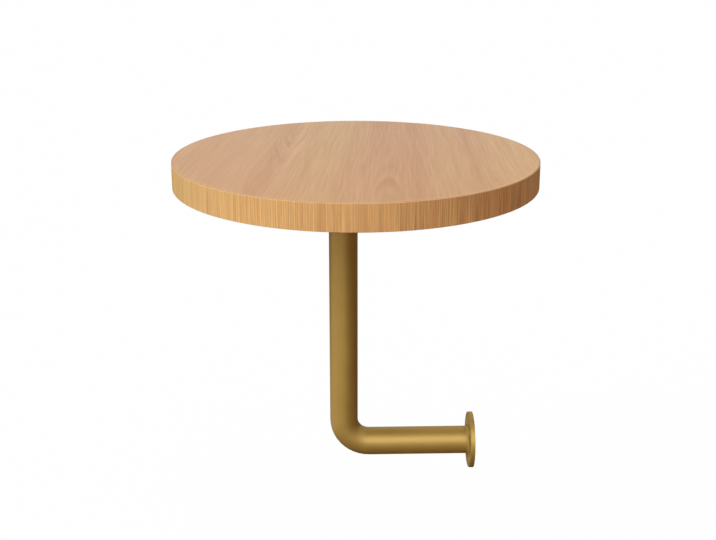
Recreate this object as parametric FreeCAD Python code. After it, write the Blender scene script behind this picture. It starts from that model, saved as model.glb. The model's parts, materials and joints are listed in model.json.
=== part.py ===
import FreeCAD, Part
import math
import os

# Round wooden table top on a bent tube that is screwed to a low wall.
# Sizes are in millimetres. The origin is the centre of the wall flange's back face.
# X points into the wall and is the arm's axis, Z points up.

# Table top
top_diameter = 600.0
core_board_thickness = 21.0
veneer_thickness = 0.6
edge_band_thickness = 2.0
edge_band_round = 1.0
edge_band_seam = 0.2
glue_line = 0.1

# Bent tube
tube_diameter = 48.3
tube_wall = 3.2
bend_radius = 44.0
arm_drop = 470.0
stem_to_wall = 227.0
stem_to_top_centre = 21.0

# Wall flange and the screw holes through it
flange_thickness = 8.0
flange_back_wall = 3.5
flange_rim_chamfer = 1.0
flange_rim_land = 3.0
flange_weld_land = 1.35
wall_hole_count = 4
wall_hole_turn = 45.0
wall_hole_diameter = 9.0
wall_screw_head_diameter = 16.0
tube_fit_clearance = 0.1

# Mounting plate under the top
plate_thickness = 6.0
plate_rim_chamfer = 1.0
plate_rim_land = 12.0
plate_screw_count = 6
plate_screw_circle_diameter = 180.0

# Fillet welds
flange_weld_leg = 4.5
plate_weld_leg = 5.0
weld_fit_clearance = 0.05
weld_hollow_share = 0.4

# Screws, washers and inserts that hold the plate to the top
screw_diameter = 8.0
screw_head_diameter = 14.0
screw_head_height = 4.4
screw_head_rim_share = 0.3
screw_head_crown_share = 0.55
screw_head_dome_radius_share = 0.84
screw_head_dome_height_share = 0.75
screw_socket_width = 5.0
screw_socket_depth = 2.6
screw_tip_room = 2.6
screw_hole_clearance = 0.5
washer_diameter = 16.0
washer_thickness = 1.6
washer_clearance = 0.2
insert_diameter = 12.5
insert_cover = 6.6
insert_fit_clearance = 0.05
thread_clearance = 0.05

# Cuts run past the surface that they open by this much
cut_overrun = 1.0

# Sizes that follow from the ones above
core_diameter = top_diameter - 2 * edge_band_thickness - 2 * glue_line
top_thickness = 2 * core_board_thickness + 2 * veneer_thickness
stem_x = -stem_to_wall
top_x = stem_x + stem_to_top_centre
underside_z = arm_drop
lower_board_z = underside_z + veneer_thickness
upper_board_z = lower_board_z + core_board_thickness
face_veneer_z = upper_board_z + core_board_thickness
plate_underside_z = underside_z - plate_thickness
flange_front_x = -flange_thickness
tube_end_x = -flange_back_wall
wall_hole_circle_diameter = (
    tube_diameter + 2 * flange_weld_leg + 2 * flange_weld_land + wall_screw_head_diameter
)
flange_diameter = wall_hole_circle_diameter + wall_screw_head_diameter + 2 * flange_rim_land
plate_diameter = plate_screw_circle_diameter + washer_diameter + 2 * plate_rim_land
insert_length = veneer_thickness + core_board_thickness - insert_cover
insert_hole_diameter = insert_diameter + 2 * insert_fit_clearance
washer_z = plate_underside_z - washer_thickness
screw_length = washer_thickness + plate_thickness + insert_length - screw_tip_room

# Distance of a round edge's middle from the sharp corner's sides, over its radius
round_middle_share = 1 - math.sqrt(0.5)

Vector = FreeCAD.Vector
ORIGIN = Vector(0, 0, 0)
UP = Vector(0, 0, 1)
TO_WALL = Vector(1, 0, 0)
ALONG_WALL = Vector(0, 1, 0)


def turned(corners, arcs=None, sweep=360):
    """Turn a section about the Z axis. Its corners are pairs of radius and height.

    An arc may follow a corner: arcs gives, by that corner's number, a pair that it passes through.
    """
    points = [Vector(radius, 0, height) for radius, height in corners]
    edges = []
    for number, start in enumerate(points):
        end = points[(number + 1) % len(points)]
        if arcs and number in arcs:
            radius, height = arcs[number]
            side = Part.Arc(start, Vector(radius, 0, height), end)
        else:
            side = Part.LineSegment(start, end)
        edges.append(side.toShape())
    return Part.Face(Part.Wire(edges)).revolve(ORIGIN, UP, sweep)


def moved(shape, x, z):
    """Copy a shape to a place on the upright plane through the stem and the arm."""
    copy = shape.copy()
    copy.translate(Vector(x, 0, z))
    return copy


def turned_copies(shape, count, axis_x):
    """Repeat a shape evenly about an upright axis."""
    copies = []
    for index in range(count):
        copy = shape.copy()
        copy.rotate(Vector(axis_x, 0, 0), UP, index * 360 / count)
        copies.append(copy)
    return copies


def at_plate_screws(shape, z):
    """Repeat a fastener, or its hole, on the plate's screw circle about the stem."""
    first = moved(shape, stem_x + plate_screw_circle_diameter / 2, z)
    return turned_copies(first, plate_screw_count, stem_x)


def disc(diameter, thickness, x, z):
    return Part.makeCylinder(diameter / 2, thickness, Vector(x, 0, z), UP)


def insert_holes():
    """Cutters for the blind insert holes, which open downwards."""
    hole = Part.makeCylinder(insert_hole_diameter / 2, insert_length + cut_overrun)
    return at_plate_screws(hole, underside_z - cut_overrun)


def edge_band():
    """Strip round the rim with rounded edges, closed by a butt joint on the wall side."""
    outer = top_diameter / 2
    inner = outer - edge_band_thickness
    section = [
        (inner, 0),
        (outer - edge_band_round, 0),
        (outer, edge_band_round),
        (outer, top_thickness - edge_band_round),
        (outer - edge_band_round, top_thickness),
        (inner, top_thickness),
    ]
    inset = edge_band_round * round_middle_share
    rounds = {1: (outer - inset, inset), 3: (outer - inset, top_thickness - inset)}
    sweep = 360 - math.degrees(edge_band_seam / outer)
    return moved(turned(section, rounds, sweep), top_x, underside_z)


def threaded_insert():
    bore = screw_diameter / 2 + thread_clearance
    outer = insert_diameter / 2
    return turned([(bore, 0), (outer, 0), (outer, insert_length), (bore, insert_length)])


def mounting_plate():
    """Round plate with a chamfered lower rim and a ring of screw holes."""
    rim = plate_diameter / 2
    section = [
        (0, 0),
        (rim - plate_rim_chamfer, 0),
        (rim, plate_rim_chamfer),
        (rim, plate_thickness),
        (0, plate_thickness),
    ]
    plate = moved(turned(section), stem_x, plate_underside_z)
    hole_radius = screw_diameter / 2 + screw_hole_clearance
    hole = Part.makeCylinder(hole_radius, plate_thickness + 2 * cut_overrun)
    return plate.cut(at_plate_screws(hole, plate_underside_z - cut_overrun))


def plate_washer():
    bore = screw_diameter / 2 + washer_clearance
    outer = washer_diameter / 2
    return turned([(bore, 0), (outer, 0), (outer, washer_thickness), (bore, washer_thickness)])


def plate_screw():
    """Low domed head with a hexagon socket under its seat, plain shank over it."""
    head = screw_head_diameter / 2
    shank = screw_diameter / 2
    section = [
        (0, -screw_head_height),
        (head * screw_head_crown_share, -screw_head_height),
        (head, -screw_head_height * screw_head_rim_share),
        (head, 0),
        (shank, 0),
        (shank, screw_length),
        (0, screw_length),
    ]
    dome = (head * screw_head_dome_radius_share, -screw_head_height * screw_head_dome_height_share)
    corner_radius = screw_socket_width / math.sqrt(3)
    mouth_z = -screw_head_height - cut_overrun
    corners = []
    for index in range(6):
        turn = math.radians(60 * index)
        corners.append(Vector(corner_radius * math.cos(turn), corner_radius * math.sin(turn), mouth_z))
    hexagon = Part.Face(Part.makePolygon(corners + corners[:1]))
    return turned(section, {1: dome}).cut(hexagon.extrude(UP * (screw_socket_depth + cut_overrun)))


def tube_section(centre, normal):
    rings = []
    for radius in (tube_diameter / 2, tube_diameter / 2 - tube_wall):
        rings.append(Part.Wire(Part.makeCircle(radius, centre, normal)))
    return Part.makeFace(rings, "Part::FaceMakerBullseye")


def leg_tube():
    """Stem, quarter bend and arm of one tube, from the plate's underside into the flange's socket."""
    stem_foot = Vector(stem_x, 0, bend_radius)
    arm_start = Vector(stem_x + bend_radius, 0, 0)
    bend_centre = Vector(stem_x + bend_radius, 0, bend_radius)
    stem = tube_section(stem_foot, UP).extrude(UP * (plate_underside_z - bend_radius))
    bend = tube_section(stem_foot, UP).revolve(bend_centre, ALONG_WALL, -90)
    arm = tube_section(arm_start, TO_WALL).extrude(TO_WALL * (tube_end_x - arm_start.x))
    return stem.fuse([bend, arm]).removeSplitter()


def weld_ring(leg):
    """Slightly hollow fillet weld round the tube, standing on a face at height zero."""
    root = tube_diameter / 2 + weld_fit_clearance
    hollow = leg * weld_hollow_share
    return turned([(root, 0), (root + leg, 0), (root, leg)], {1: (root + hollow, hollow)})


def plate_weld():
    ring = weld_ring(plate_weld_leg)
    ring.rotate(ORIGIN, ALONG_WALL, 180)
    return moved(ring, stem_x, plate_underside_z)


def flange_weld():
    ring = weld_ring(flange_weld_leg)
    ring.rotate(ORIGIN, ALONG_WALL, -90)
    return moved(ring, flange_front_x, 0)


def wall_hole_cutter():
    """Screw hole with a right-angled countersink in the flange's front face."""
    hole = wall_hole_diameter / 2
    head = wall_screw_head_diameter / 2
    section = [
        (0, flange_front_x - cut_overrun),
        (head, flange_front_x - cut_overrun),
        (head, flange_front_x),
        (hole, flange_front_x + head - hole),
        (hole, cut_overrun),
        (0, cut_overrun),
    ]
    cutter = moved(turned(section), wall_hole_circle_diameter / 2, 0)
    cutter.rotate(ORIGIN, UP, wall_hole_turn)
    return cutter


def wall_flange():
    """Round plate with a blind socket for the tube's end and a ring of countersunk holes."""
    rim = flange_diameter / 2
    socket = tube_diameter / 2 + tube_fit_clearance
    section = [
        (0, tube_end_x),
        (socket, tube_end_x),
        (socket, flange_front_x),
        (rim - flange_rim_chamfer, flange_front_x),
        (rim, flange_front_x + flange_rim_chamfer),
        (rim, 0),
        (0, 0),
    ]
    flange = turned(section).cut(turned_copies(wall_hole_cutter(), wall_hole_count, 0))
    flange.rotate(ORIGIN, ALONG_WALL, 90)
    return flange


lower_board_blank = disc(core_diameter, core_board_thickness, top_x, lower_board_z)
underside_sheet = disc(core_diameter, veneer_thickness, top_x, underside_z)
pieces = {
    "top_face_veneer": disc(core_diameter, veneer_thickness, top_x, face_veneer_z),
    "upper_core_board": disc(core_diameter, core_board_thickness, top_x, upper_board_z),
    "lower_core_board": lower_board_blank.cut(insert_holes()),
    "underside_veneer": underside_sheet.cut(insert_holes()),
    "edge_band": edge_band(),
    "threaded_inserts": Part.makeCompound(at_plate_screws(threaded_insert(), underside_z)),
    "mounting_plate": mounting_plate(),
    "plate_weld": plate_weld(),
    "plate_washers": Part.makeCompound(at_plate_screws(plate_washer(), washer_z)),
    "plate_screws": Part.makeCompound(at_plate_screws(plate_screw(), washer_z)),
    "leg_tube": leg_tube(),
    "flange_weld": flange_weld(),
    "wall_flange": wall_flange(),
}

os.makedirs("parts", exist_ok=True)
for name, shape in pieces.items():
    shape.exportStep("parts/" + name + ".step")
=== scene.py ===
import json
import math

import bpy
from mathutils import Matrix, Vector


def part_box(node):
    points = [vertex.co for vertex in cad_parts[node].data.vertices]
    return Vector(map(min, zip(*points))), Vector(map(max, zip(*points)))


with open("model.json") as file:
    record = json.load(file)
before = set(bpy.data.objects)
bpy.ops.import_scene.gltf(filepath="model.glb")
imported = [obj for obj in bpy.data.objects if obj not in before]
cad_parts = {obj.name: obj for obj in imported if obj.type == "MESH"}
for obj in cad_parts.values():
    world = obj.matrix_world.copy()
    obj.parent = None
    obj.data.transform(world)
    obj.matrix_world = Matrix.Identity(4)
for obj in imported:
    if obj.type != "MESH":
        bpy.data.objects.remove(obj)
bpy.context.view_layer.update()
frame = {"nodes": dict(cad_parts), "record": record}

# The photograph's frame and the camera that took it, in pixels, metres and degrees
PHOTO_WIDTH = 716
FOCAL_PIXELS = 1238.1
SENSOR_WIDTH = 36.0
CAMERA_PLACE = (-0.2616, -1.9868, 0.9630)
CAMERA_PITCH = 18.0
CAMERA_YAW = 1.708

# The table top in the frame
band_low, band_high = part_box("edge_band")
TOP_CENTRE = (band_low + band_high) / 2
TOP_RADIUS = (band_high.x - band_low.x) / 2
TOP_Z = band_high.z
UNDERSIDE_Z = band_low.z
FACE_CENTRE = (TOP_CENTRE.x, TOP_CENTRE.y, TOP_Z)
UNDERSIDE_CENTRE = (TOP_CENTRE.x, TOP_CENTRE.y, UNDERSIDE_Z)

WHITE = (1.0, 1.0, 1.0, 1.0)


def srgb(red, green, blue):
    """Linear colour of a tone given in the screen's 0 to 255 steps."""
    tone = []
    for step in (red, green, blue):
        share = step / 255
        tone.append(share / 12.92 if share <= 0.04045 else ((share + 0.055) / 1.055) ** 2.4)
    return (*tone, 1.0)


# Shader building blocks
def connect(tree, node, inputs):
    """Set a node's inputs by name or number, and link those that come from another node."""
    for name, value in inputs.items():
        if isinstance(value, bpy.types.NodeSocket):
            tree.links.new(value, node.inputs[name])
        else:
            node.inputs[name].default_value = value


def put(tree, kind, inputs, **settings):
    """Add a node with its settings, then set or link its inputs."""
    made = tree.nodes.new(kind)
    for name, value in settings.items():
        setattr(made, name, value)
    connect(tree, made, inputs)
    return made


def maths(tree, operation, first, second=0.0, third=0.0, clamp=False):
    """Result of one sum on up to three values."""
    inputs = {0: first, 1: second, 2: third}
    return put(tree, "ShaderNodeMath", inputs, operation=operation, use_clamp=clamp).outputs[0]


def spread(tree, value, low, high, to_low=0.0, to_high=1.0, smooth=False):
    """Map a value from one span to another, clamped at both ends."""
    inputs = {0: value, 1: low, 2: high, 3: to_low, 4: to_high}
    kind = "SMOOTHSTEP" if smooth else "LINEAR"
    return put(tree, "ShaderNodeMapRange", inputs, interpolation_type=kind).outputs[0]


def bell(tree, value, centre, width):
    """Soft rise to one where the value is near the centre."""
    off = maths(tree, "DIVIDE", maths(tree, "SUBTRACT", value, centre), width)
    return maths(tree, "EXPONENT", maths(tree, "MULTIPLY", maths(tree, "MULTIPLY", off, off), -1.0))


def blend(tree, factor, first, second, mode="MIX"):
    """Mix of two colours."""
    inputs = {0: factor, 6: first, 7: second}
    return put(tree, "ShaderNodeMix", inputs, data_type="RGBA", blend_type=mode).outputs[2]


def stain(tree, colour, tone, share, mask):
    """Mix a colour towards a tone, up to the given share where the mask is one."""
    return blend(tree, maths(tree, "MULTIPLY", mask, share), colour, tone)


def xyz(tree, x, y, z=0.0):
    """Vector from three values."""
    return put(tree, "ShaderNodeCombineXYZ", {0: x, 1: y, 2: z}).outputs[0]


def grain_place(tree, across, along, scales):
    """Place in a pattern that has one scale across the grain and another along it."""
    return xyz(tree, maths(tree, "MULTIPLY", across, scales[0]), maths(tree, "MULTIPLY", along, scales[1]))


def noise(tree, vector, scale=1.0, detail=2.0, roughness=0.5):
    """Smooth noise, mostly between 0.3 and 0.7."""
    inputs = {"Vector": vector, "Scale": scale, "Detail": detail, "Roughness": roughness}
    return put(tree, "ShaderNodeTexNoise", inputs).outputs["Fac"]


def bump(tree, height, relief):
    """Normal of a surface that the height lifts, with a strength and a depth in metres."""
    strength, depth = relief
    inputs = {"Height": height, "Strength": strength, "Distance": depth}
    return put(tree, "ShaderNodeBump", inputs).outputs[0]


def object_axes(tree, centre):
    """Object coordinates measured from a centre, as three values."""
    coordinates = tree.nodes.new("ShaderNodeTexCoord").outputs["Object"]
    shift = tuple(-value for value in centre)
    moved = put(tree, "ShaderNodeMapping", {"Vector": coordinates, "Location": shift}).outputs[0]
    parts = put(tree, "ShaderNodeSeparateXYZ", {0: moved}).outputs
    return parts[0], parts[1], parts[2]


def new_group(name, inputs, outputs):
    """Empty shader group with named float inputs and outputs. Gives its tree, inputs and end node."""
    tree = bpy.data.node_groups.new(name, "ShaderNodeTree")
    for label, start in inputs.items():
        socket = tree.interface.new_socket(label, in_out="INPUT", socket_type="NodeSocketFloat")
        socket.default_value = start
    for label in outputs:
        tree.interface.new_socket(label, in_out="OUTPUT", socket_type="NodeSocketFloat")
    return tree, tree.nodes.new("NodeGroupInput").outputs, tree.nodes.new("NodeGroupOutput")


def use_group(tree, group, inputs):
    """Outputs of a shader group that is placed with its own values."""
    return put(tree, "ShaderNodeGroup", inputs, node_tree=group).outputs


def new_material(name):
    """Material with a Principled surface. Gives its tree and the surface node as well."""
    material = bpy.data.materials.new(name)
    material.use_nodes = True
    tree = material.node_tree
    return material, tree, tree.nodes["Principled BSDF"]


# Shared effect, wood fibres: streaks and pores counted for each fine line, and the noise that shows
STREAKS_PER_LINE = 0.12
PORES_PER_LINE = 4.0
PORE_SHORTENING = 4.0
LINE_NOISE = (0.34, 0.66)
STREAK_NOISE = (0.32, 0.68)
PORE_NOISE = (0.60, 0.72)


def make_wood_fibres():
    """Fine lines, broad streaks and open pores of wood cut along its length, in metres."""
    group, given, result = new_group(
        "wood_fibres",
        {"Across": 0.0, "Along": 0.0, "Lines Per Metre": 300.0, "Stretch": 60.0},
        ["Lines", "Streaks", "Pores"],
    )
    across = given["Across"]
    density = given["Lines Per Metre"]
    slow = maths(group, "DIVIDE", given["Along"], given["Stretch"])
    line_place = xyz(group, across, slow)
    pore_place = xyz(group, across, maths(group, "MULTIPLY", slow, PORE_SHORTENING))
    fine = noise(group, line_place, density, roughness=0.6)
    coarse = noise(group, line_place, maths(group, "MULTIPLY", density, STREAKS_PER_LINE))
    cells = maths(group, "MULTIPLY", density, PORES_PER_LINE)
    cells = noise(group, pore_place, cells, detail=1.0, roughness=0.4)
    connect(group, result, {
        "Lines": spread(group, fine, *LINE_NOISE),
        "Streaks": spread(group, coarse, *STREAK_NOISE),
        "Pores": spread(group, cells, *PORE_NOISE),
    })
    return group


# Shared effect, growth rings: how unevenly the years count, and the course of one year from 0 to 1
YEAR_DRIFT = 2.4
YEAR_DRIFT_SCALE = 0.6
LATE_RISE = (0.35, 0.93)
LATE_FALL = (0.95, 1.0)
EARLY_FALL = (0.0, 0.4)
FAINTEST_YEAR = 0.1


def make_growth_rings():
    """Yearly rings at a distance from the heart, in metres, each with its own width and darkness."""
    group, given, result = new_group(
        "growth_rings",
        {"Distance": 0.0, "Spacing": 0.006},
        ["Late Wood", "Early Wood"],
    )
    years = maths(group, "DIVIDE", given["Distance"], given["Spacing"])
    drift = noise(group, xyz(group, years, 0.0), YEAR_DRIFT_SCALE, detail=1.0)
    years = maths(group, "MULTIPLY_ADD", drift, YEAR_DRIFT, years)
    part = maths(group, "FRACT", years)
    whole = maths(group, "FLOOR", years)
    chance = put(group, "ShaderNodeTexWhiteNoise", {"W": whole}, noise_dimensions="1D").outputs["Value"]
    darkness = spread(group, chance, 0.0, 1.0, FAINTEST_YEAR, 1.0)
    rise = spread(group, part, *LATE_RISE, smooth=True)
    line = maths(group, "MULTIPLY", rise, spread(group, part, *LATE_FALL, 1.0, 0.0))
    connect(group, result, {
        "Late Wood": maths(group, "MULTIPLY", line, darkness),
        "Early Wood": spread(group, part, *EARLY_FALL, 1.0, 0.0),
    })
    return group


def make_satin_skin():
    """Faint unevenness of a sprayed or plated skin: tone, gloss and surface height."""
    group, given, result = new_group(
        "satin_skin",
        {"Fineness": 900.0, "Waviness": 40.0},
        ["Tone", "Gloss", "Height"],
    )
    place = group.nodes.new("ShaderNodeTexCoord").outputs["Object"]
    speck = noise(group, place, given["Fineness"], roughness=0.6)
    cloud = noise(group, place, given["Waviness"], detail=3.0)
    tone = maths(group, "MULTIPLY", maths(group, "ADD", speck, cloud), 0.5)
    connect(group, result, {"Tone": tone, "Gloss": cloud, "Height": speck})
    return group


wood_fibres = make_wood_fibres()
growth_rings = make_growth_rings()
satin_skin = make_satin_skin()

# Relief of fine wood, as a strength and a depth in metres
FINE_RELIEF = (0.2, 0.0002)

# Face veneer: the heart line of the flat-sawn sheet from the top's centre, and how its grain and rings run
HEART_X = 0.0565
HEART_DEPTH = 0.037
RING_RISE = 0.05
GRAIN_FAN = 0.25
GRAIN_LEAN = 0.06
WOBBLE = 0.016
WOBBLE_SCALES = (7.0, 2.4)
FACE_GRAIN = {"Lines Per Metre": 300.0, "Stretch": 45.0}
FACE_RING_SPACING = 0.0036

# Face veneer: the arch, a ring with a soft inner side and a pale ring round it
ARCH_Y = -0.163
ARCH_REACH = 0.075
ARCH_WIDTH = 0.0008
ARCH_STEP = 0.0014
ARCH_INNER_WIDTH = 0.0016
ARCH_INNER_SHARE = 0.5
ARCH_PALE_STEP = 0.0021

# Face veneer: nested pointed strokes, as a flame, with the noise that shows as dark and as pale
FLAME_SIDE = -0.174
FLAME_Y = 0.07
FLAME_WIDTH = 0.028
FLAME_REACH = 0.14
FLAME_SLOPE = 5.7
FLAME_STROKES = 24.0
FLAME_SCALES = (1.0, 2.0)
FLAME_DARK_NOISE = (0.50, 0.62)
FLAME_PALE_NOISE = (0.38, 0.50)

# Face veneer: bands and streaks along the grain, each with a place from the heart line, a width and a share
YELLOW_BANDS = (
    (-0.319, 0.050, 0.30),
    (-0.114, 0.060, 0.75),
    (0.091, 0.028, 0.55),
    (0.216, 0.050, 1.0),
)
DARK_STREAKS = (
    (0.020, 0.075, 0.09),
    (-0.190, 0.011, 0.18),
    (0.134, 0.009, 0.22),
)
PALE_STREAKS = (
    (-0.164, 0.006, 0.28),
    (-0.254, 0.060, 0.22),
)

# Face veneer: clouds that blur the yellow bands, and patches where the rings show less
CLOUD_SCALES = (11.0, 1.3)
CLOUD_NOISE = (0.32, 0.68)
CLOUD_SHARE = 0.25
PATCH_SCALE = 1.7
PATCH_NOISE = (0.35, 0.65)
PATCH_FAINTEST = 0.3

# Face veneer: tones, the share of each mark in them, the painted sheen and painted front highlight, and the
# lacquer
FACE_PINK = srgb(213, 167, 131)
FACE_YELLOW = srgb(219, 182, 136)
FACE_DARK = srgb(172, 126, 92)
FACE_PALE = srgb(226, 188, 150)
# Painted highlight along the front edge of the face
FACE_FRONT_HIGHLIGHT = srgb(234, 186, 134)
# Painted sheen: the face is warmer at the front and paler and bluer at the back, as grazing reflection
# makes it
FACE_PAINTED_SHEEN_FRONT = (1.026, 0.971, 0.917, 1.0)
FACE_PAINTED_SHEEN_BACK = (0.951, 0.964, 1.034, 1.0)
FACE_STREAK_SHARE = 0.20
FACE_RING_SHARE = 0.22
FACE_LINE_SHARE = 0.22
FACE_PORE_SHARE = 0.40
LATE_PORE_SHARE = 0.4
ARCH_DARK_SHARE = 0.40
ARCH_PALE_SHARE = 0.25
FLAME_DARK_SHARE = 0.24
FLAME_PALE_SHARE = 0.35
FRONT_HIGHLIGHT_SHARE = 0.40
FRONT_HIGHLIGHT_WIDTH = 0.012
FACE_ROUGHNESS = (0.50, 0.60)
FACE_LINE_DEPTH = 0.3
FACE_SPECULAR = 0.2


def face_figure(tree, across, along):
    """Distance across the fanned grain from the heart line, and distance from the heart, in metres."""
    across = maths(tree, "MULTIPLY_ADD", along, -GRAIN_LEAN, across)
    wobble = noise(tree, grain_place(tree, across, along, WOBBLE_SCALES), roughness=0.6)
    wobble = maths(tree, "SUBTRACT", wobble, 0.5)
    side = maths(tree, "SUBTRACT", maths(tree, "MULTIPLY_ADD", wobble, WOBBLE, across), HEART_X)
    side = maths(tree, "MULTIPLY", side, maths(tree, "MULTIPLY_ADD", along, GRAIN_FAN, 1.0))
    squares = maths(tree, "MULTIPLY_ADD", side, side, HEART_DEPTH ** 2)
    return side, maths(tree, "MULTIPLY_ADD", along, RING_RISE, maths(tree, "SQRT", squares))


def yellow_share(tree, side, clouds):
    """Share of yellow wood from the broad bands, made uneven by the clouds."""
    share = 0.0
    for place, width, strength in YELLOW_BANDS:
        band = maths(tree, "MULTIPLY", bell(tree, side, place, width), strength)
        share = maths(tree, "MAXIMUM", band, share)
    uneven = spread(tree, noise(tree, clouds), *CLOUD_NOISE, -CLOUD_SHARE, CLOUD_SHARE)
    return maths(tree, "ADD", share, uneven, clamp=True)


def arch_figure(tree, side, along, distance):
    """Dark ring of the arch and the pale ring round it, as two masks."""
    middle = HEART_DEPTH + RING_RISE * ARCH_Y
    ring = bell(tree, distance, middle, ARCH_WIDTH)
    inner = bell(tree, distance, middle - ARCH_STEP, ARCH_INNER_WIDTH)
    outer = bell(tree, distance, middle + ARCH_PALE_STEP, ARCH_WIDTH)
    both = maths(tree, "MAXIMUM", ring, maths(tree, "MULTIPLY", inner, ARCH_INNER_SHARE))
    near_along = bell(tree, along, ARCH_Y, ARCH_REACH)
    near_side = bell(tree, side, 0.0, ARCH_REACH)
    near = maths(tree, "MULTIPLY", near_along, near_side)
    return maths(tree, "MULTIPLY", both, near), maths(tree, "MULTIPLY", outer, near)


def flame_figure(tree, side, along):
    """Dark and pale strokes of nested points beside the dark streak, as two masks."""
    off = maths(tree, "ABSOLUTE", maths(tree, "SUBTRACT", side, FLAME_SIDE))
    phase = maths(tree, "MULTIPLY_ADD", off, -FLAME_SLOPE, along)
    strokes = noise(tree, grain_place(tree, phase, side, FLAME_SCALES), FLAME_STROKES)
    near_side = bell(tree, side, FLAME_SIDE, FLAME_WIDTH)
    near_along = bell(tree, along, FLAME_Y, FLAME_REACH)
    near = maths(tree, "MULTIPLY", near_side, near_along)
    dark = spread(tree, strokes, *FLAME_DARK_NOISE)
    pale = spread(tree, strokes, *FLAME_PALE_NOISE, 1.0, 0.0)
    return maths(tree, "MULTIPLY", dark, near), maths(tree, "MULTIPLY", pale, near)


def front_edge_highlight(tree, across, along):
    """Mask of the front edge of the face, for a painted highlight that makes it paler."""
    squares = maths(tree, "MULTIPLY_ADD", across, across, maths(tree, "MULTIPLY", along, along))
    edge = spread(tree, maths(tree, "SQRT", squares), TOP_RADIUS - FRONT_HIGHLIGHT_WIDTH, TOP_RADIUS)
    front = spread(tree, along, -TOP_RADIUS / 2, 0.0, 1.0, 0.0)
    return maths(tree, "MULTIPLY", edge, front)


def face_veneer_finish():
    """Matt lacquered oak sheet, grain along Y, flat-sawn figure in soft pink and yellow, painted sheen and
    highlight.
    """
    material, tree, surface = new_material("oak_face_veneer")
    across, along = object_axes(tree, FACE_CENTRE)[:2]
    side, distance = face_figure(tree, across, along)
    rings = use_group(tree, growth_rings, {"Distance": distance, "Spacing": FACE_RING_SPACING})
    fibres = use_group(tree, wood_fibres, {"Across": side, "Along": along, **FACE_GRAIN})
    clouds = grain_place(tree, side, along, CLOUD_SCALES)
    patches = spread(tree, noise(tree, clouds, PATCH_SCALE, detail=1.0), *PATCH_NOISE, PATCH_FAINTEST, 1.0)
    late_wood = maths(tree, "MULTIPLY", rings["Late Wood"], patches)
    open_share = spread(tree, rings["Early Wood"], 0.0, 1.0, LATE_PORE_SHARE, 1.0)
    pores = maths(tree, "MULTIPLY", fibres["Pores"], open_share)
    dark_arch, pale_arch = arch_figure(tree, side, along, distance)
    dark_flame, pale_flame = flame_figure(tree, side, along)
    marks = [
        (FACE_DARK, FACE_STREAK_SHARE, fibres["Streaks"]),
        (FACE_DARK, FACE_RING_SHARE, late_wood),
        (FACE_DARK, FACE_LINE_SHARE, fibres["Lines"]),
        (FACE_DARK, ARCH_DARK_SHARE, dark_arch),
        (FACE_PALE, ARCH_PALE_SHARE, pale_arch),
    ]
    for tone, streaks in ((FACE_DARK, DARK_STREAKS), (FACE_PALE, PALE_STREAKS)):
        for place, width, share in streaks:
            marks.append((tone, share, bell(tree, side, place, width)))
    marks += [
        (FACE_DARK, FLAME_DARK_SHARE, dark_flame),
        (FACE_PALE, FLAME_PALE_SHARE, pale_flame),
        (FACE_DARK, FACE_PORE_SHARE, pores),
        # painted highlight along the front edge
        (FACE_FRONT_HIGHLIGHT, FRONT_HIGHLIGHT_SHARE, front_edge_highlight(tree, across, along)),
    ]
    colour = blend(tree, yellow_share(tree, side, clouds), FACE_PINK, FACE_YELLOW)
    for tone, share, mask in marks:
        colour = stain(tree, colour, tone, share, mask)
    # Painted sheen, warmer at the front and paler and bluer at the back
    painted_sheen = blend(tree, spread(tree, along, -TOP_RADIUS, TOP_RADIUS), FACE_PAINTED_SHEEN_FRONT, FACE_PAINTED_SHEEN_BACK)
    depth = maths(tree, "MULTIPLY_ADD", fibres["Lines"], FACE_LINE_DEPTH, pores)
    connect(tree, surface, {
        "Base Color": blend(tree, 1.0, colour, painted_sheen, "MULTIPLY"),
        "Roughness": spread(tree, fibres["Lines"], 0.0, 1.0, *FACE_ROUGHNESS),
        "Normal": bump(tree, maths(tree, "MULTIPLY", depth, -1.0), FINE_RELIEF),
        "Specular IOR Level": FACE_SPECULAR,
    })
    return material


# Edge band: tones, grain, the share of each mark in them, and the lacquer
BAND_LIGHT = srgb(231, 196, 134)
BAND_MID = srgb(216, 174, 114)
BAND_DARK = srgb(152, 100, 58)
BAND_GRAIN = {"Lines Per Metre": 560.0, "Stretch": 60.0}
BAND_RING_SPACING = 0.0024
BAND_RING_SHARE = 0.52
BAND_LINE_SHARE = 0.46
BAND_PORE_SHARE = 0.25
BAND_ROUGHNESS = (0.48, 0.60)
BAND_RELIEF = (0.3, 0.0003)
BAND_SPECULAR = 0.3

# Edge band: painted shade, darker and redder on the side away from the key light, at an angle in radians,
# with crisper lines on that side
BAND_PAINTED_SHADE = (0.970, 0.780, 0.710, 1.0)
BAND_PAINTED_SHADE_TURN = 0.5
BAND_CRISP_FROM = 0.74
BAND_CRISP_TO = 0.98
BAND_CRISPNESS = 0.40

# Edge band: a painted highlight along the upper arris, and the band's thin upper edge beside the face
ARRIS_PAINTED_HIGHLIGHT = srgb(228, 188, 146)
ARRIS_HEIGHT = 0.0012
ARRIS_HIGHLIGHT_SHARE = 0.4
LAND_TONE = srgb(160, 126, 98)
LAND_DEPTH = 0.0001
LAND_SHARE = 0.7


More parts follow.
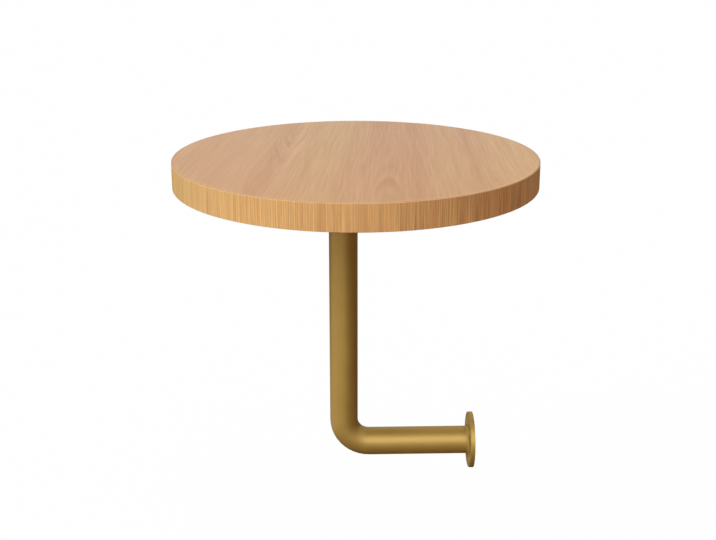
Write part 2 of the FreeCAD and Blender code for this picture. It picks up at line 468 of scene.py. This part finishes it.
def edge_band_finish():
    """Matt lacquered oak strip with upright grain, a painted highlight along its upper arris, painted shade
    on the side away from the key light, and darker on top.
    """
    material, tree, surface = new_material("oak_edge_band")
    x, y, z = object_axes(tree, FACE_CENTRE)
    turn = maths(tree, "ARCTAN2", y, x)
    around = maths(tree, "MULTIPLY", turn, TOP_RADIUS)
    fibres = use_group(tree, wood_fibres, {"Across": around, "Along": z, **BAND_GRAIN})
    rings = use_group(tree, growth_rings, {"Distance": around, "Spacing": BAND_RING_SPACING})
    # Mask of the painted shade: darker and redder towards the side away from the key light, with crisper
    # lines there
    drift = spread(tree, maths(tree, "COSINE", maths(tree, "ADD", turn, BAND_PAINTED_SHADE_TURN)), -1.0, 1.0)
    colour = blend(tree, fibres["Streaks"], BAND_MID, BAND_LIGHT)
    colour = blend(tree, drift, colour, BAND_PAINTED_SHADE, "MULTIPLY")
    colour = stain(tree, colour, BAND_DARK, BAND_RING_SHARE, rings["Late Wood"])
    colour = stain(tree, colour, BAND_DARK, BAND_LINE_SHARE, fibres["Lines"])
    colour = stain(tree, colour, BAND_DARK, BAND_PORE_SHARE, fibres["Pores"])
    crisp = spread(tree, drift, BAND_CRISP_FROM, BAND_CRISP_TO, 0.0, BAND_CRISPNESS)
    swing = maths(tree, "MULTIPLY_ADD", crisp, maths(tree, "SUBTRACT", 0.5, fibres["Lines"]), 1.0)
    colour = blend(tree, 1.0, colour, swing, "MULTIPLY")
    # Painted highlight along the upper arris
    arris_highlight = spread(tree, z, -ARRIS_HEIGHT, -ARRIS_HEIGHT / 2)
    colour = stain(tree, colour, ARRIS_PAINTED_HIGHLIGHT, ARRIS_HIGHLIGHT_SHARE, arris_highlight)
    colour = stain(tree, colour, LAND_TONE, LAND_SHARE, spread(tree, z, -LAND_DEPTH, 0.0))
    depth = maths(tree, "ADD", fibres["Lines"], rings["Late Wood"])
    connect(tree, surface, {
        "Base Color": colour,
        "Roughness": spread(tree, fibres["Lines"], 0.0, 1.0, *BAND_ROUGHNESS),
        "Normal": bump(tree, maths(tree, "MULTIPLY", depth, -1.0), BAND_RELIEF),
        "Specular IOR Level": BAND_SPECULAR,
    })
    return material


# Backing veneer
BACKING_LIGHT = srgb(200, 162, 122)
BACKING_DARK = srgb(172, 130, 94)
BACKING_GRAIN = {"Lines Per Metre": 280.0, "Stretch": 45.0}
BACKING_SHARES = {"Lines": 0.6, "Streaks": 0.4, "Pores": 0.4}
BACKING_ROUGHNESS = (0.60, 0.72)


def backing_veneer_finish():
    """Plain sanded oak sheet on the underside."""
    material, tree, surface = new_material("oak_backing_veneer")
    across, along = object_axes(tree, TOP_CENTRE)[:2]
    fibres = use_group(tree, wood_fibres, {"Across": across, "Along": along, **BACKING_GRAIN})
    colour = BACKING_LIGHT
    for mark, share in BACKING_SHARES.items():
        colour = stain(tree, colour, BACKING_DARK, share, fibres[mark])
    connect(tree, surface, {
        "Base Color": colour,
        "Roughness": spread(tree, fibres["Lines"], 0.0, 1.0, *BACKING_ROUGHNESS),
        "Normal": bump(tree, fibres["Lines"], FINE_RELIEF),
    })
    return material


# Plywood core: plies in pairs of a light and a dark one
PLY_THICKNESS = 0.0015
PLY_CHANGE = (0.45, 0.55)
PLY_LIGHT = srgb(222, 196, 152)
PLY_DARK = srgb(186, 150, 106)
PLY_GRAIN = {"Lines Per Metre": 240.0, "Stretch": 30.0}
PLY_LINE_SHARE = 0.3
PLY_ROUGHNESS = (0.65, 0.80)


def plywood_finish():
    """Birch plywood: thin plies, light and dark in turn, with short fibres."""
    material, tree, surface = new_material("plywood_core")
    x, y, z = object_axes(tree, UNDERSIDE_CENTRE)
    pair = maths(tree, "FRACT", maths(tree, "DIVIDE", z, 2 * PLY_THICKNESS))
    fibres = use_group(tree, wood_fibres, {"Across": x, "Along": y, **PLY_GRAIN})
    colour = blend(tree, spread(tree, pair, *PLY_CHANGE), PLY_LIGHT, PLY_DARK)
    connect(tree, surface, {
        "Base Color": stain(tree, colour, PLY_DARK, PLY_LINE_SHARE, fibres["Lines"]),
        "Roughness": spread(tree, fibres["Lines"], 0.0, 1.0, *PLY_ROUGHNESS),
        "Normal": bump(tree, fibres["Lines"], FINE_RELIEF),
    })
    return material


# Metal finishes: tones, share of bare metal, roughness, specks and waves per metre, and relief
GOLD = {
    "deep": srgb(153, 120, 55),
    "light": srgb(175, 144, 77),
    "metallic": 0.50,
    "roughness": (0.44, 0.50),
    "skin": {"Fineness": 1400.0, "Waviness": 30.0},
    "relief": (0.15, 0.00006),
}
ZINC = {
    "deep": srgb(170, 170, 166),
    "light": srgb(205, 205, 200),
    "metallic": 1.0,
    "roughness": (0.28, 0.42),
    "skin": {"Fineness": 900.0, "Waviness": 60.0},
    "relief": (0.15, 0.00004),
}
GLOSS_NOISE = (0.3, 0.7)
COAT_WEIGHT = 0.25
COAT_ROUGHNESS = 0.35


def metal_finish(name, metal):
    """Satin metal skin whose tone and gloss vary a little over the surface."""
    material, tree, surface = new_material(name)
    skin = use_group(tree, satin_skin, metal["skin"])
    connect(tree, surface, {
        "Base Color": blend(tree, skin["Tone"], metal["deep"], metal["light"]),
        "Roughness": spread(tree, skin["Gloss"], *GLOSS_NOISE, *metal["roughness"]),
        "Normal": bump(tree, skin["Height"], metal["relief"]),
        "Metallic": metal["metallic"],
        "Specular Tint": metal["light"],
        "Coat Weight": COAT_WEIGHT,
        "Coat Roughness": COAT_ROUGHNESS,
    })
    return material


# Every CAD node gets the finish of its material slot
finishes = {
    "oak_face_veneer": face_veneer_finish(),
    "oak_edge_band": edge_band_finish(),
    "oak_backing_veneer": backing_veneer_finish(),
    "plywood_core": plywood_finish(),
    "gold_coated_steel": metal_finish("gold_coated_steel", GOLD),
    "zinc_plated_steel": metal_finish("zinc_plated_steel", ZINC),
}
for subpart in frame["record"]["subparts"]:
    slots = frame["nodes"][subpart["node"]].data.materials
    slots.clear()
    slots.append(finishes[subpart["material_slot"]])

# Stage, light and camera, in metres and degrees
TABLE_HEIGHT = 1.05
FLOOR_SIZE = 120.0
FLOOR_TONE = (0.50, 0.34, 0.26, 1.0)
FLOOR_SHADOW = 0.04
CARD_TONE = (0.16, 0.09, 0.03, 1.0)
WORLD_TONE = (1.0, 0.75, 0.65, 1.0)
WORLD_STRENGTH = 0.12


def stage_material(name):
    """Material with an empty tree."""
    material = bpy.data.materials.new(name)
    material.use_nodes = True
    material.node_tree.nodes.clear()
    return material, material.node_tree


def seen_directly(tree):
    """One for rays from the camera and for mirrored or refracted ones, zero for bounced light."""
    path = tree.nodes.new("ShaderNodeLightPath").outputs
    seen = maths(tree, "MAXIMUM", path["Is Camera Ray"], path["Is Glossy Ray"])
    return maths(tree, "MAXIMUM", seen, path["Is Transmission Ray"])


def mix_shaders(tree, factor, first, second):
    """Mix of two shaders."""
    return put(tree, "ShaderNodeMixShader", {0: factor, 1: first, 2: second}).outputs[0]


def make_floor():
    """Pale floor that the camera and reflections see as white, with the table's shadow on it."""
    bpy.ops.object.select_all(action="DESELECT")
    bpy.ops.mesh.primitive_plane_add(size=FLOOR_SIZE, location=(0.0, 0.0, TOP_Z - TABLE_HEIGHT))
    floor = bpy.context.active_object
    floor.name = "studio_floor"
    material, tree = stage_material("studio_floor")
    plain = put(tree, "ShaderNodeBsdfDiffuse", {"Color": FLOOR_TONE}).outputs[0]
    bright = put(tree, "ShaderNodeBsdfDiffuse", {"Color": WHITE}).outputs[0]
    white = put(tree, "ShaderNodeEmission", {"Color": WHITE, "Strength": 1.0}).outputs[0]
    shaded = mix_shaders(tree, 1.0 - FLOOR_SHADOW, bright, white)
    above = mix_shaders(tree, seen_directly(tree), plain, shaded)
    clear = tree.nodes.new("ShaderNodeBsdfTransparent").outputs[0]
    from_below = tree.nodes.new("ShaderNodeNewGeometry").outputs["Backfacing"]
    put(tree, "ShaderNodeOutputMaterial", {"Surface": mix_shaders(tree, from_below, above, clear)})
    floor.data.materials.append(material)


def make_card(name, size, place, turn, left_tone=CARD_TONE):
    """Dark card that only reflections see, as a photographer's flag. It may fade to its left."""
    bpy.ops.object.select_all(action="DESELECT")
    angles = [math.radians(value) for value in turn]
    bpy.ops.mesh.primitive_plane_add(size=1.0, location=place, rotation=angles)
    card = bpy.context.active_object
    card.name = name
    card.scale = (*size, 1.0)
    card.visible_camera = False
    card.visible_diffuse = False
    card.visible_transmission = False
    card.visible_shadow = False
    material, tree = stage_material(name)
    across = object_axes(tree, (0.0, 0.0, 0.0))[0]
    tone = blend(tree, spread(tree, across, -0.5, 0.5), left_tone, CARD_TONE)
    flag = put(tree, "ShaderNodeEmission", {"Color": tone, "Strength": 1.0}).outputs[0]
    put(tree, "ShaderNodeOutputMaterial", {"Surface": flag})
    card.data.materials.append(material)


def make_sun(name, azimuth, elevation, strength, softness, colour, gloss=False):
    """Soft sun: azimuth 0 shines from the front, 90 from the right. A gloss sun only makes highlights."""
    light = bpy.data.lights.new(name, "SUN")
    light.energy = math.pi * strength
    light.angle = math.radians(softness)
    light.color = colour
    lamp = bpy.data.objects.new(name, light)
    bpy.context.scene.collection.objects.link(lamp)
    lamp.rotation_euler = (math.radians(90.0 - elevation), 0.0, math.radians(azimuth))
    lamp.visible_glossy = gloss
    lamp.visible_diffuse = not gloss


def make_world():
    """Soft warm light from all sides that looks white where it is seen."""
    world = bpy.data.worlds.new("studio_world")
    world.use_nodes = True
    tree = world.node_tree
    tree.nodes.clear()
    soft = put(tree, "ShaderNodeBackground", {"Color": WORLD_TONE, "Strength": WORLD_STRENGTH}).outputs[0]
    white = put(tree, "ShaderNodeBackground", {"Color": WHITE, "Strength": 1.0}).outputs[0]
    put(tree, "ShaderNodeOutputWorld", {"Surface": mix_shaders(tree, seen_directly(tree), soft, white)})
    bpy.context.scene.world = world


def make_camera():
    """Camera at the photograph's place, with its lens."""
    camera = bpy.data.cameras.new("camera")
    camera.sensor_width = SENSOR_WIDTH
    camera.lens = FOCAL_PIXELS * SENSOR_WIDTH / PHOTO_WIDTH
    holder = bpy.data.objects.new("camera", camera)
    bpy.context.scene.collection.objects.link(holder)
    holder.location = CAMERA_PLACE
    holder.rotation_euler = (math.radians(90.0 - CAMERA_PITCH), 0.0, math.radians(-CAMERA_YAW))
    bpy.context.scene.camera = holder


make_floor()

# Cards: size, place and turn
make_card("right_card", (1.7, 4.0), (0.9, -1.2, -0.45), (0.0, -90.0, 0.0))
make_card("low_card", (1.2, 1.2), (-0.1, 0.0, -0.45), (0.0, 0.0, 0.0))
make_card("rear_card", (1.75, 3.4), (0.575, 2.2, -0.5), (0.0, 0.0, 0.0))
make_card("back_card", (1.6, 0.9), (-1.0, 1.1, 0.0), (90.0, 0.0, 30.0))
make_card("side_card", (1.8, 0.9), (1.6, 2.2, -0.1), (90.0, 0.0, -25.0))
make_card("front_card", (2.5, 2.4), (-0.45, -1.5, -0.5), (0.0, 0.0, 0.0), left_tone=WHITE)

# Suns: azimuth, elevation, strength, softness and colour
make_sun("key_light", -52.0, 30.0, 0.80, 38.0, (0.95, 1.05, 1.04))
make_sun("front_light", -5.0, 45.0, 0.34, 46.0, (0.97, 1.0, 1.0))
make_sun("arm_gloss", -2.0, 30.0, 0.42, 48.0, (0.92, 1.02, 1.2), gloss=True)
make_sun("top_light", 0.0, 85.0, 0.16, 60.0, (1.0, 0.96, 0.94))

make_world()
make_camera()
bpy.context.scene.view_settings.view_transform = "Standard"
